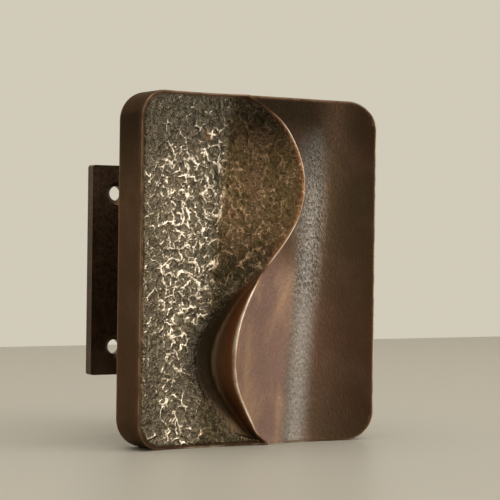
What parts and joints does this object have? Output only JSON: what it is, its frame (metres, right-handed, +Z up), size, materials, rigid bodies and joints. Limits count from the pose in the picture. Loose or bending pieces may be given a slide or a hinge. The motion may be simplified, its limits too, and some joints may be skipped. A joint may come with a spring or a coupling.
{
  "type": "door pull handle",
  "caption": "Cast bronze door pull: a thick rounded panel with an S-curve relief, one half crinkled and one half smooth, on a square mounting plate.",
  "frame": {"origin": "centre of the mounting plate's back face, which lies on the door", "axes": "+Y into the door, -Y towards the person, +Z up, +X to the right seen from the front"},
  "size_m": [0.118, 0.0795, 0.15],
  "materials": {
    "bronze_patina": "cast bronze with a dark brown patina, worn bright along its edges",
    "plate_patina": "dark brown patina, satin",
    "screw_brass": "aged brass"
  },
  "bodies": {
    "root": {"grip": "bronze_patina", "mounting_plate": "plate_patina", "plate_screws": "screw_brass"}
  },
  "joints": []
}
